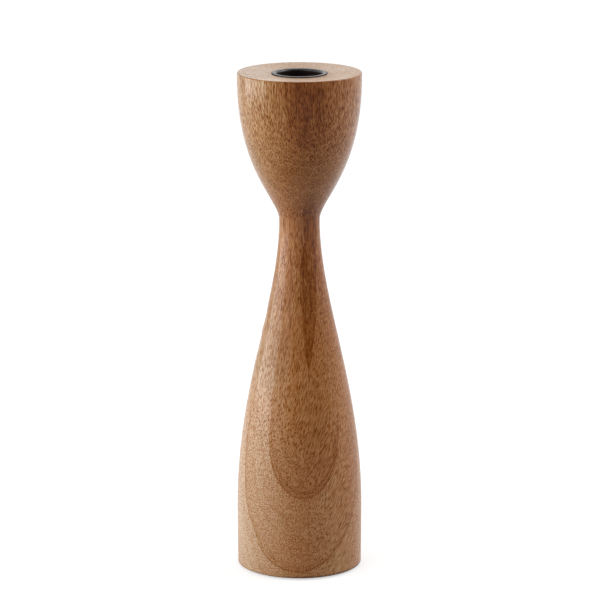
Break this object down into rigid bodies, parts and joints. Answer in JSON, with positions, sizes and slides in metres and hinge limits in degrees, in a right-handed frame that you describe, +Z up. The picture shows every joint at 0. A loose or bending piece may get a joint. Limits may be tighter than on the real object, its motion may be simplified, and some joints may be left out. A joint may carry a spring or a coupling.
{
  "type": "candlestick",
  "caption": "Turned wooden candlestick with a bell foot, a narrow waist and a goblet head, holding a dinner candle in a flanged black metal socket that lifts out.",
  "frame": {"origin": "on the table, at the middle of the felt pad under the foot", "axes": "+Z up along the turning axis, out of the candle socket; +X to the right in the picture; -Y towards the viewer"},
  "size_m": [0.0624, 0.0624, 0.25],
  "materials": {
    "oiled_wood": "satin",
    "black_steel": "satin",
    "felt": "matte"
  },
  "bodies": {
    "stand": {"turned_body": "oiled_wood", "felt_pad": "felt"},
    "socket": {"candle_socket": "black_steel"}
  },
  "joints": [
    {"name": "socket_lift", "type": "slide", "parent": "stand", "child": "socket", "axis": [0, 0, 1], "range_m": [0, 0.03]}
  ]
}
